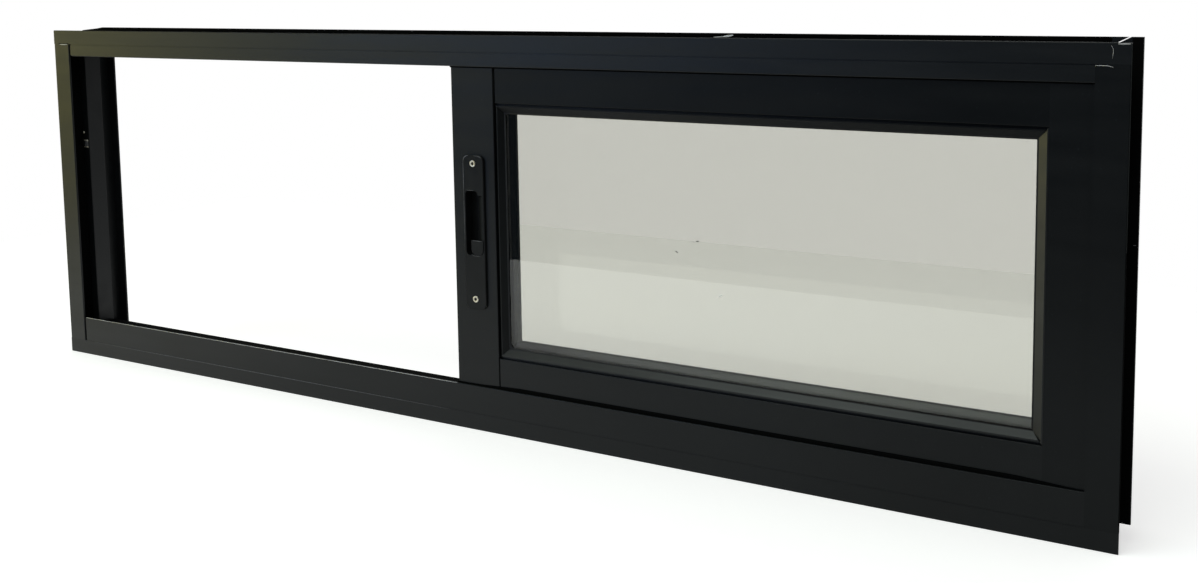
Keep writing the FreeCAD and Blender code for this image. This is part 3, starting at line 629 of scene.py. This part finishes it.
def cross_screw(middle, facing, across, radius, dome):
    """A pan head with a cross recess: over polar radius and turn, a flattened dome less a dip where the
    nearer of the two side distances is under the recess's half width."""
    facing, across = np.array(facing, float), np.array(across, float)
    third = np.cross(facing, across)
    reach = np.linspace(1.0, 0.0, 15)[:, None]
    turn = np.linspace(0, 2 * math.pi, 48, endpoint=False)[None, :]
    side_x, side_y = reach * np.cos(turn), reach * np.sin(turn)
    bulge = (1 - reach ** 4) ** 0.5
    nearer = np.minimum(np.abs(side_x), np.abs(side_y))
    dip = np.clip((0.17 - nearer) / 0.06, 0, 1) * np.clip((0.62 - reach) / 0.1, 0, 1)
    height = dome * (bulge - 0.75 * dip)
    flat = side_x[..., None] * across + side_y[..., None] * third
    return np.array(middle) + flat * radius + height[..., None] * facing


class WINDOW_OT_finishes(bpy.types.Operator):
    """Give every CAD node the finish of its material slot"""

    bl_idname = "window.finishes"
    bl_label = "Finish the frame, panels and fittings"

    def execute(self, context):
        for part in frame["record"]["subparts"]:
            mesh = NODES[part["node"]].data
            mesh.materials.clear()
            name = NODE_FINISH.get(part["node"], SLOT_FINISH[part["material_slot"]])
            mesh.materials.append(finish(name))
        return {"FINISHED"}


class WINDOW_OT_wedges(bpy.types.Operator):
    """Run a rubber wedge round the front of each pane, and fill behind the sash's loose corner"""

    bl_idname = "window.wedges"
    bl_label = "Glazing wedges"

    def execute(self, context):
        reach, rise = sizes().wedge_reach, sizes().wedge_height
        turn = np.linspace(-math.pi / 2, math.pi / 2, 9)
        nose = np.stack([-reach * np.cos(turn), rise * (0.5 + 0.5 * np.sin(turn))], -1)
        profile = np.concatenate([[[WEDGE_TUCK, 0.0]], nose, [[WEDGE_TUCK, rise]]])
        for panel in ("sash", "fixed"):
            front = box(f"{panel}_glass")[0][1]
            left = box(f"{panel}_left_bead")[1]
            right = box(f"{panel}_right_bead")[0]
            bottom = box(f"{panel}_bottom_bead")[1]
            top = box(f"{panel}_top_bead")[0]
            low, high = (left[0], bottom[2]), (right[0], top[2])
            tight = sizes().tight_corner
            lower_left = sizes().loose_corner if panel == "sash" else tight
            points, outward = rounded_loop(low, high, (tight, tight, lower_left, tight))
            grid = swept(upright(points, front), upright(outward, 0.0), (0.0, -1.0, 0.0), profile)
            add_piece(f"{panel}_wedge", [grid], "glazing_rubber", wrap_rows=True)
            if panel == "sash":
                lower_left_part = slice(CORNER_STEPS * 2, CORNER_STEPS * 3)
                arc = points[lower_left_part] + outward[lower_left_part] * CORNER_LAP
                fill = corner_fill(arc, low, front, rise)
                add_piece("sash_wedge_corner", [fill], "glazing_rubber", smooth=False)
        return {"FINISHED"}


class WINDOW_OT_latch_screws(bpy.types.Operator):
    """Set a bright socket screw in each end of the latch plate"""

    bl_idname = "window.latch_screws"
    bl_label = "Latch screws"

    def execute(self, context):
        low, high = box("latch_plate")
        middle = (low[0] + high[0]) / 2
        low = low + (0, 0, sizes().screw_lift)
        high = high + (0, 0, sizes().screw_lift)
        inset = sizes().screw_inset
        grids = [socket_screw((middle, low[1], height), (0, -1, 0), (1, 0, 0), sizes().screw_radius,
                              sizes().screw_socket, LATCH_SCREW_DOME)
                 for height in (low[2] + inset, high[2] - inset)]
        add_piece("latch_screws", grids, "zinc_plate")
        return {"FINISHED"}


class WINDOW_OT_latch_shade_highlights(bpy.types.Operator):
    """Paint shade into the latch's finger scoop, and paint grey highlights along the plate's and the slider's
    edges
    """

    bl_idname = "window.latch_wear"
    bl_label = "Latch scoop shade and edge highlights"

    def execute(self, context):
        low, high = box("latch_plate")
        middle = (low + high) / 2
        share = np.linspace(0, 1, 12)
        across = middle[0] + LATCH_SLOT_RIGHT + share * LATCH_SCOOP_WIDTH
        front = low[1] + np.maximum(LATCH_SCOOP_DEPTH * (1 - share) - SCOOP_LIFT, -SCOOP_PROUD)
        loop_across = np.concatenate([across, across[::-1]])
        loop_depth = np.concatenate([front, front[::-1] + SCOOP_LINING])
        height = middle[2] + np.linspace(LATCH_SCOOP_LOW, LATCH_SCOOP_HIGH, 6)
        grid = np.stack(np.broadcast_arrays(loop_across[None], loop_depth[None], height[:, None]), -1)
        add_piece("latch_scoop_painted_shade", [closed_ends(grid)], "scoop_painted_shade")
        start = middle[[0, 2]] * MILLIMETRES
        thick = sizes().mark_thickness
        grids = [front_stroke(np.array(points) + start, low[1], width, thick, True)
                 for points, width in LATCH_HIGHLIGHTS]
        # A painted highlight along the slider's top edge
        slider_low, slider_high = box("latch_slider")
        left, right = slider_low[0] * MILLIMETRES, slider_high[0] * MILLIMETRES
        left_gap, right_gap, top_gap, width = 2.0, 1.0, 0.4, 0.6
        top = slider_high[2] * MILLIMETRES - top_gap
        points = ((left + left_gap, top), (right - right_gap, top))
        grids.append(front_stroke(points, slider_low[1], width, thick, True))
        add_piece("latch_edge_highlights", grids, "worn_and_highlight_coat")
        return {"FINISHED"}


class WINDOW_OT_keeper_trim(bpy.types.Operator):
    """Set two black screws in the keeper, and a bright staple, its plate and its screw on the rib"""

    bl_idname = "window.keeper_trim"
    bl_label = "Keeper screws and staple"

    def execute(self, context):
        low, high = box("keeper")
        plate_rise, forward, inset = 0.0015, 0.001, 0.0065
        face = low[0] + plate_rise
        depth = (low[1] + high[1]) / 2 - forward
        # The keeper's black screws take the same dull finish, which also paints in the channel's shade
        grids = [cross_screw((face, depth, height), (1, 0, 0), (0, 1, 0),
                             sizes().keeper_screw_radius, KEEPER_SCREW_DOME)
                 for height in (low[2] + inset, high[2] - inset)]
        add_piece("keeper_screws", grids, "dull_seal_and_shade")
        rib_front = box("sash_lock_stile")[1][1] + SASH_REAR_GAP
        half_length, middle = 0.0035, 0.0046
        across = np.linspace(-half_length, half_length, 5) + low[0] + middle
        bar = sizes().staple_bar
        foot_rise, top_rise, bar_thick, plate_thick = 0.0105, 0.0185, 0.0012, 0.0004
        foot, top = low[2] + foot_rise, low[2] + top_rise
        bars = [upright_strip(across, rib_front, height - bar, height + bar, bar_thick)
                for height in (foot, top)]
        add_piece("keeper_staple", bars, "zinc_plate")
        plate = upright_strip(across, rib_front, foot, top, plate_thick)
        add_piece("keeper_staple_plate", [plate], "worn_and_highlight_coat")
        screw_side, screw_rise, screw_radius = 0.0011, 0.0284, 0.0014
        screw_place = (low[0] + screw_side, rib_front, low[2] + screw_rise)
        screw = cross_screw(screw_place, (0, -1, 0), (1, 0, 0), screw_radius, STAPLE_SCREW_DOME)
        add_piece("keeper_staple_screw", [screw], "zinc_plate")
        return {"FINISHED"}


class WINDOW_OT_corner_screws(bpy.types.Operator):
    """Set the screws that hold the frame's corners, on the outside of both jambs"""

    bl_idname = "window.corner_screws"
    bl_label = "Frame corner screws"

    def execute(self, context):
        depth = (box("sash_lock_stile")[1][1] + box("fixed_jamb_stile")[0][1]) / 2
        sill_drop, head_rise = 0.020, 0.0075
        heights = (box("sill")[1][2] - sill_drop, box("head")[0][2] + head_rise)
        grids = []
        for side in (-1, 1):
            web = side * (box("right_jamb")[1][0] - JAMB_WEB_INSET)
            grids += [cross_screw((web, depth, height), (side, 0, 0), (0, side, 0),
                                  sizes().corner_screw_radius, CORNER_SCREW_DOME) for height in heights]
        add_piece("corner_screws", grids, "zinc_plate")
        return {"FINISHED"}


class WINDOW_OT_weather_strips(bpy.types.Operator):
    """Lay the pile strips between sash and frame, the sill's one also painting in the shade of its gap, and
    dull black strips that paint in the shade on the rib's top and in the left jamb's channel
    """

    bl_idname = "window.weather_strips"
    bl_label = "Weather strips"

    def execute(self, context):
        sash_low, sash_high = box("sash_lock_stile")
        right = box("right_jamb")[0][0]
        lip_back = box("sill")[0][1] + FRAME_WALL
        depth = (lip_back + sash_low[1]) / 2
        along = np.linspace(sash_low[0], right - PILE_END_GAP, PILE_POINTS)
        share = np.linspace(0, 1, PILE_POINTS)
        swell = np.clip(share / 0.12, 0.35, 1) * np.clip((1 - share) / 0.09, 0.02, 1)
        half = sizes().pile_thickness / 2
        sill_top = box("sill")[1][2]
        # The sill's pile is real and also paints in the dark shade of the gap over the upstand: it rises from
        # the left and fades out before the right jamb
        crown = sill_top + sizes().sill_pile_rise * swell
        grid = upright_strip(along, depth, sill_top - PILE_ROOT, crown, half)
        add_piece("sill_pile_and_shade", [grid], "dull_seal_and_shade")
        head_low = box("head")[0][2]
        grid = upright_strip(along, depth, head_low - sizes().head_pile_drop, head_low + PILE_ROOT, half)
        add_piece("head_pile", [grid], "dull_seal_and_shade")
        rib_front = sash_high[1] + SASH_REAR_GAP
        rib_back = box("fixed_jamb_stile")[0][1] - FIXED_GAP
        # A dull black strip that paints in the shade over the sill rib's top
        along = np.linspace(box("left_jamb")[1][0], right, 3)
        grid = upright_strip(along, (rib_front + rib_back) / 2, RIB_TOP, RIB_TOP + sizes().rib_shade_rise,
                             (rib_back - rib_front) / 2 - RIB_SHADE_GAP)
        add_piece("rib_top_painted_shade", [grid], "dull_seal_and_shade")
        # A dull black sheet that paints in the shade of the left jamb's channel
        web = box("left_jamb")[0][0] + JAMB_WEB_INSET + FRAME_WALL
        half_width = (rib_front - lip_back) / 2 - CHANNEL_SHADE_GAP
        grid = standing_strip(web, (lip_back + rib_front) / 2, SILL_BAND, box("left_jamb")[1][2], half_width,
                              sizes().channel_shade_thickness, True)
        add_piece("jamb_channel_painted_shade", [grid], "dull_seal_and_shade")
        return {"FINISHED"}


class WINDOW_OT_fin_shade_strips(bpy.types.Operator):
    """Paint the shade on the fixing fins as dull black strips, and on the right flange's edge paint shade low
    down and a dim grey sheen higher up
    """

    bl_idname = "window.fin_tapes"
    bl_label = "Fin shade strips"

    def execute(self, context):
        depth = box("sill")[0][1] + FIN_SETBACK
        thick = sizes().shade_strip_thickness
        edge = box("right_jamb")[1][0] - SHADE_STRIP_EDGE_GAP
        middle = edge - FIN_SHOWN / 2
        foot = SILL_BAND + SHADE_STRIP_FOOT_GAP
        head_low, head_high = box("head")
        head_top = head_high[2] - SHADE_STRIP_EDGE_GAP
        runs = (("left_fin_painted_shade", -1, box("left_jamb")[1][2]), ("right_fin_painted_shade", 1, head_top))
        for name, side, top in runs:
            grid = standing_strip(side * middle, depth, foot, top, FIN_SHOWN / 2, thick, False)
            add_piece(name, [grid], "dull_seal_and_shade")
        along = np.linspace(FIN_SHADE_START, box("right_jamb")[0][0] + FIN_SHADE_END_LAP, FIN_SHADE_POINTS)
        lift = np.clip((along - FIN_SHADE_START) / FIN_SHADE_TAPER, 0, 1)
        reach = edge - box("right_jamb")[0][0]
        crown = head_top - (1 - lift) * FIN_SHADE_DROP
        grid = upright_strip(along, depth, crown - reach / 2, crown, thick)
        add_piece("head_fin_painted_shade", [grid], "dull_seal_and_shade")
        # The right flange's edge is painted: dull black shade low down, and higher up a flat grey that stands
        # in for its dim sheen
        jamb_side = box("right_jamb")[1][0] - FIN_REACH
        face = box("sill")[0][1]
        sheen_start, thin_share = 0.65, 0.4
        change = head_low[2] * sheen_start
        runs = (("right_edge_painted_shade", foot, change, "dull_seal_and_shade"),
                ("right_edge_painted_sheen", change, head_high[2] - SHEEN_TOP_GAP, "painted_sheen_grey"))
        for name, low, high, finish_name in runs:
            grid = standing_strip(jamb_side, face + FRAME_WALL / 2, low, high, FRAME_WALL / 2 + FLANGE_LAP,
                                  thick * thin_share, True)
            add_piece(name, [grid], finish_name)
        return {"FINISHED"}


class WINDOW_OT_seams(bpy.types.Operator):
    """Draw the dark joints between the lock stile and the two rails, with the shade in them painted in, and
    paint the shadow of the joint over the left jamb
    """

    bl_idname = "window.seams"
    bl_label = "Stile seams"

    def execute(self, context):
        joint = box("sash_left_bead")[0]
        head_low = box("head")[0][2]
        sill_top = box("sill")[1][2]
        face = box("sash_top_rail")[0][1]
        runs = ((box("sash_top_bead")[1][2], head_low + SEAM_LAP, sizes().seam_top),
                (sill_top - SEAM_LAP, box("sash_bottom_bead")[0][2], sizes().seam_foot))
        grids = [standing_strip(joint[0] + width / 2, face, low, high, width / 2, SEAM_THICKNESS, False)
                 for low, high, width in runs]
        add_piece("lock_joints_and_shade", grids, "dull_seal_and_shade")
        points, width = JOINT_SHADOW
        stroke = front_stroke(points, box("sill")[0][1], width, sizes().mark_thickness, False)
        add_piece("left_joint_shadow", [stroke], "dull_seal_and_shade")
        return {"FINISHED"}


class WINDOW_OT_marks(bpy.types.Operator):
    """Lay the bare scrapes, the rubbed spot on the right fin, the painted glint in the sill's groove, the
    specks on the glass and the painted highlight along the upstand's edge
    """

    bl_idname = "window.marks"
    bl_label = "Scrapes, specks and edge highlights"

    def execute(self, context):
        face = box("sill")[0][1]
        thick = sizes().mark_thickness
        grids = [front_stroke(points, face, width, thick, True) for points, width in MARKS]
        # The front of the fins' strips of painted shade, where the scrapes and the rubbed spot lie
        tape = face + FIN_SETBACK - sizes().shade_strip_thickness
        grids += [front_stroke(points, tape, width, thick, True) for points, width in FIN_MARKS]
        add_piece("bare_marks", grids, "bare_metal_and_highlight")
        spot = front_stroke(FIN_SPOT[0], tape, FIN_SPOT[1], thick, True)
        # A painted glint in the sill's groove, fading out at both ends
        along = np.linspace(*GROOVE_SPAN, EDGE_POINTS)
        fade = np.sin(np.pi * np.linspace(0.03, 0.97, EDGE_POINTS)) ** 0.5
        path = upright(np.stack([along, np.full(EDGE_POINTS, SILL_BAND - GROOVE_DROP)], -1), face)
        groove = strip(path, (0, 0, 1), (0, 1, 0), GROOVE_WIDTH * fade, thick)
        add_piece("rubbed_spot_and_groove_glint", [spot, groove], "worn_and_highlight_coat")
        pane = box("sash_glass")[0][1]
        runs = (("glass_specks", SPECKS, "dull_seal_and_shade"), ("glass_smear", SMEARS, "nylon"))
        for name, marks, finish_name in runs:
            grids = [front_stroke(points, pane, width, thick, True) for points, width in marks]
            add_piece(name, grids, finish_name)
        # A painted highlight in bare-metal grey along the sill upstand's top edge, uneven along its length
        edge = sizes().edge_highlight_radius
        left = box("left_jamb")[1][0] + LIP_END_GAP
        end_gap, slant, fine_wave, long_wave = 0.001, 0.7, 310, 83
        along = np.linspace(left + end_gap, box("sash_lock_stile")[0][0], EDGE_POINTS)
        height = np.full(EDGE_POINTS, box("sill")[1][2] - edge)
        path = upright(np.stack([along, height], -1), face + edge)
        fade = np.clip(np.linspace(0.1, 4.0, EDGE_POINTS), 0, 0.85)
        rubbed = edge * fade * (0.55 + 0.45 * np.sin(along * fine_wave) * np.sin(along * long_wave))
        grid = strip(path, (0, -slant, slant), (0, slant, slant), rubbed, edge)
        add_piece("upstand_edge_highlight", [grid], "bare_metal_and_highlight")
        return {"FINISHED"}


class WINDOW_OT_stage(bpy.types.Operator):
    """Set the floor, the soft lamps, the world and the camera"""

    bl_idname = "window.stage"
    bl_label = "Stage"

    def execute(self, context):
        lay_floor()
        hang_lamps()
        light_world()
        stand_camera()
        context.scene.view_settings.view_transform = "Standard"
        return {"FINISHED"}


def reckoned(tree, operation, first, second):
    """The result of a math operation on two sockets."""
    node = tree.nodes.new("ShaderNodeMath")
    node.operation = operation
    tree.links.new(first, node.inputs[0])
    tree.links.new(second, node.inputs[1])
    return node.outputs["Value"]


def lay_floor():
    """A flat pale floor, a grid of two rows, lifted towards white to the camera, through glass and in
    reflections."""
    across = np.array([-FLOOR_SIDE, FLOOR_SIDE])
    along = np.array([FLOOR_FRONT, FLOOR_BACK])
    grid = np.stack(np.broadcast_arrays(across[None, :], along[:, None], 0.0), -1)
    mesh = bpy.data.meshes.new("studio_floor")
    mesh.from_pydata(grid.reshape(-1, 3).tolist(), [], grid_faces((2, 2), False, False).tolist())
    floor = bpy.data.objects.new("studio_floor", mesh)
    bpy.context.scene.collection.objects.link(floor)
    material, tree, shader, place = new_finish("studio_floor")
    shader.inputs["Base Color"].default_value = (*colours().floor, 1.0)
    shader.inputs["Roughness"].default_value = 0.8
    shader.inputs["Specular IOR Level"].default_value = 0.1
    light_path = tree.nodes.new("ShaderNodeLightPath")
    shader.inputs["Emission Color"].default_value = (1.0, 1.0, 1.0, 1.0)
    through = light_path.outputs["Is Transmission Ray"]
    only_glossy = reckoned(tree, "SUBTRACT", light_path.outputs["Is Glossy Ray"], through)
    mirrored = spread(tree, only_glossy, 0.0, 1.0, 0.0, 1.0)
    parts = tree.nodes.new("ShaderNodeSeparateXYZ")
    tree.links.new(place, parts.inputs["Vector"])
    gloss = reckoned(tree, "MULTIPLY", mirrored, spread(tree, parts.outputs["X"], *GLOSS_SPAN, *GLOSS_LIFTS))
    direct = spread(tree, light_path.outputs["Is Camera Ray"], 0.0, 1.0, 0.0, FLOOR_LIFT)
    behind_glass = spread(tree, through, 0.0, 1.0, 0.0, GLASS_LIFT)
    plain = reckoned(tree, "ADD", direct, behind_glass)
    tree.links.new(reckoned(tree, "ADD", plain, gloss), shader.inputs["Emission Strength"])
    mesh.materials.append(material)


def hang_lamps():
    """Rectangular soft lamps, each turned to face the point that it aims at."""
    for name, place, target, width, height, power, tint in LAMPS:
        data = bpy.data.lights.new(name, "AREA")
        data.shape = "RECTANGLE"
        data.size, data.size_y = width, height
        data.energy = power
        data.color = tint
        lamp = bpy.data.objects.new(name, data)
        bpy.context.scene.collection.objects.link(lamp)
        away = np.array(place) - np.array(target)
        away = away / np.linalg.norm(away)
        side = np.cross((0, 0, 1), away) if abs(away[2]) < 0.95 else np.array((1.0, 0.0, 0.0))
        side = side / np.linalg.norm(side)
        lamp.matrix_world = turned(place, side, np.cross(away, side))


def turned(place, right, up):
    """The matrix of an object that looks along its own -Z with these right and up directions."""
    right, up = np.array(right), np.array(up)
    matrix = np.eye(4)
    matrix[:3, 0], matrix[:3, 1], matrix[:3, 2], matrix[:3, 3] = right, up, np.cross(right, up), place
    return Matrix(matrix.tolist())


def light_world():
    """A plain soft world: white to the camera and through glass, an even level of light for the rest, and in
    reflections warm to the left, dim in front and white behind the window."""
    world = bpy.data.worlds.new("studio_world")
    bpy.context.scene.world = world
    world.use_nodes = True
    tree = world.node_tree
    background = tree.nodes["Background"]
    light_path = tree.nodes.new("ShaderNodeLightPath")
    direction = tree.nodes.new("ShaderNodeTexCoord").outputs["Generated"]
    parts = tree.nodes.new("ShaderNodeSeparateXYZ")
    tree.links.new(direction, parts.inputs["Vector"])
    to_left = spread(tree, parts.outputs["X"], *WARM_TURN, 0.0, 1.0)
    behind = spread(tree, parts.outputs["Y"], *WHITE_TURN, 0.0, 1.0)
    reflected = mixed(tree, behind, mixed(tree, to_left, GLOSS_COOL, GLOSS_WARM), WHITE)
    glossy = light_path.outputs["Glossy Depth"]
    lit = mixed(tree, spread(tree, glossy, 0.0, 1.0, 0.0, 1.0), (WORLD_LEVEL,) * 3, reflected)
    straight = reckoned(tree, "MULTIPLY", light_path.outputs["Is Transmission Ray"],
                      spread(tree, glossy, 0.0, 1.0, 1.0, 0.0))
    seen = reckoned(tree, "MAXIMUM", light_path.outputs["Is Camera Ray"], straight)
    tree.links.new(mixed(tree, seen, lit, WHITE), background.inputs["Color"])
    background.inputs["Strength"].default_value = 1.0


def stand_camera():
    """The photograph's camera: its lens from the focal length in pixels, its shift from the axis's row."""
    data = bpy.data.cameras.new("camera")
    data.sensor_fit = "HORIZONTAL"
    data.sensor_width = SENSOR_WIDTH
    data.lens = FOCAL_PIXELS * SENSOR_WIDTH / IMAGE_WIDTH
    data.shift_y = (OPTICAL_AXIS_ROW - IMAGE_HEIGHT / 2) / IMAGE_WIDTH
    camera = bpy.data.objects.new("camera", data)
    bpy.context.scene.collection.objects.link(camera)
    camera.matrix_world = turned(CAMERA_PLACE, CAMERA_RIGHT, CAMERA_UP)
    bpy.context.scene.camera = camera


OPERATORS = (
    WINDOW_OT_finishes,
    WINDOW_OT_wedges,
    WINDOW_OT_latch_screws,
    WINDOW_OT_latch_shade_highlights,
    WINDOW_OT_keeper_trim,
    WINDOW_OT_corner_screws,
    WINDOW_OT_weather_strips,
    WINDOW_OT_fin_shade_strips,
    WINDOW_OT_seams,
    WINDOW_OT_marks,
    WINDOW_OT_stage,
)


class WINDOW_PT_looks(bpy.types.Panel):
    """Lists the window's finishing steps and what can be changed"""

    bl_idname = "WINDOW_PT_looks"
    bl_label = "Sliding window"
    bl_space_type = "VIEW_3D"
    bl_region_type = "UI"
    bl_category = "Window"

    def draw(self, context):
        for group in (context.scene.window_sizes, context.scene.window_colours):
            for name in group.__annotations__:
                self.layout.prop(group, name)
        for operator in OPERATORS:
            self.layout.operator(operator.bl_idname)


CLASSES = (WindowSizes, WindowColours, *OPERATORS, WINDOW_PT_looks)


def register():
    for item in CLASSES:
        bpy.utils.register_class(item)
    bpy.types.Scene.window_sizes = PointerProperty(type=WindowSizes)
    bpy.types.Scene.window_colours = PointerProperty(type=WindowColours)


def unregister():
    del bpy.types.Scene.window_colours
    del bpy.types.Scene.window_sizes
    for item in reversed(CLASSES):
        bpy.utils.unregister_class(item)


def main():
    register()
    bpy.ops.window.finishes()
    bpy.ops.window.wedges()
    bpy.ops.window.latch_screws()
    bpy.ops.window.latch_wear()
    bpy.ops.window.keeper_trim()
    bpy.ops.window.corner_screws()
    bpy.ops.window.weather_strips()
    bpy.ops.window.fin_tapes()
    bpy.ops.window.seams()
    bpy.ops.window.marks()
    bpy.ops.window.stage()


if __name__ == "__main__":
    main()
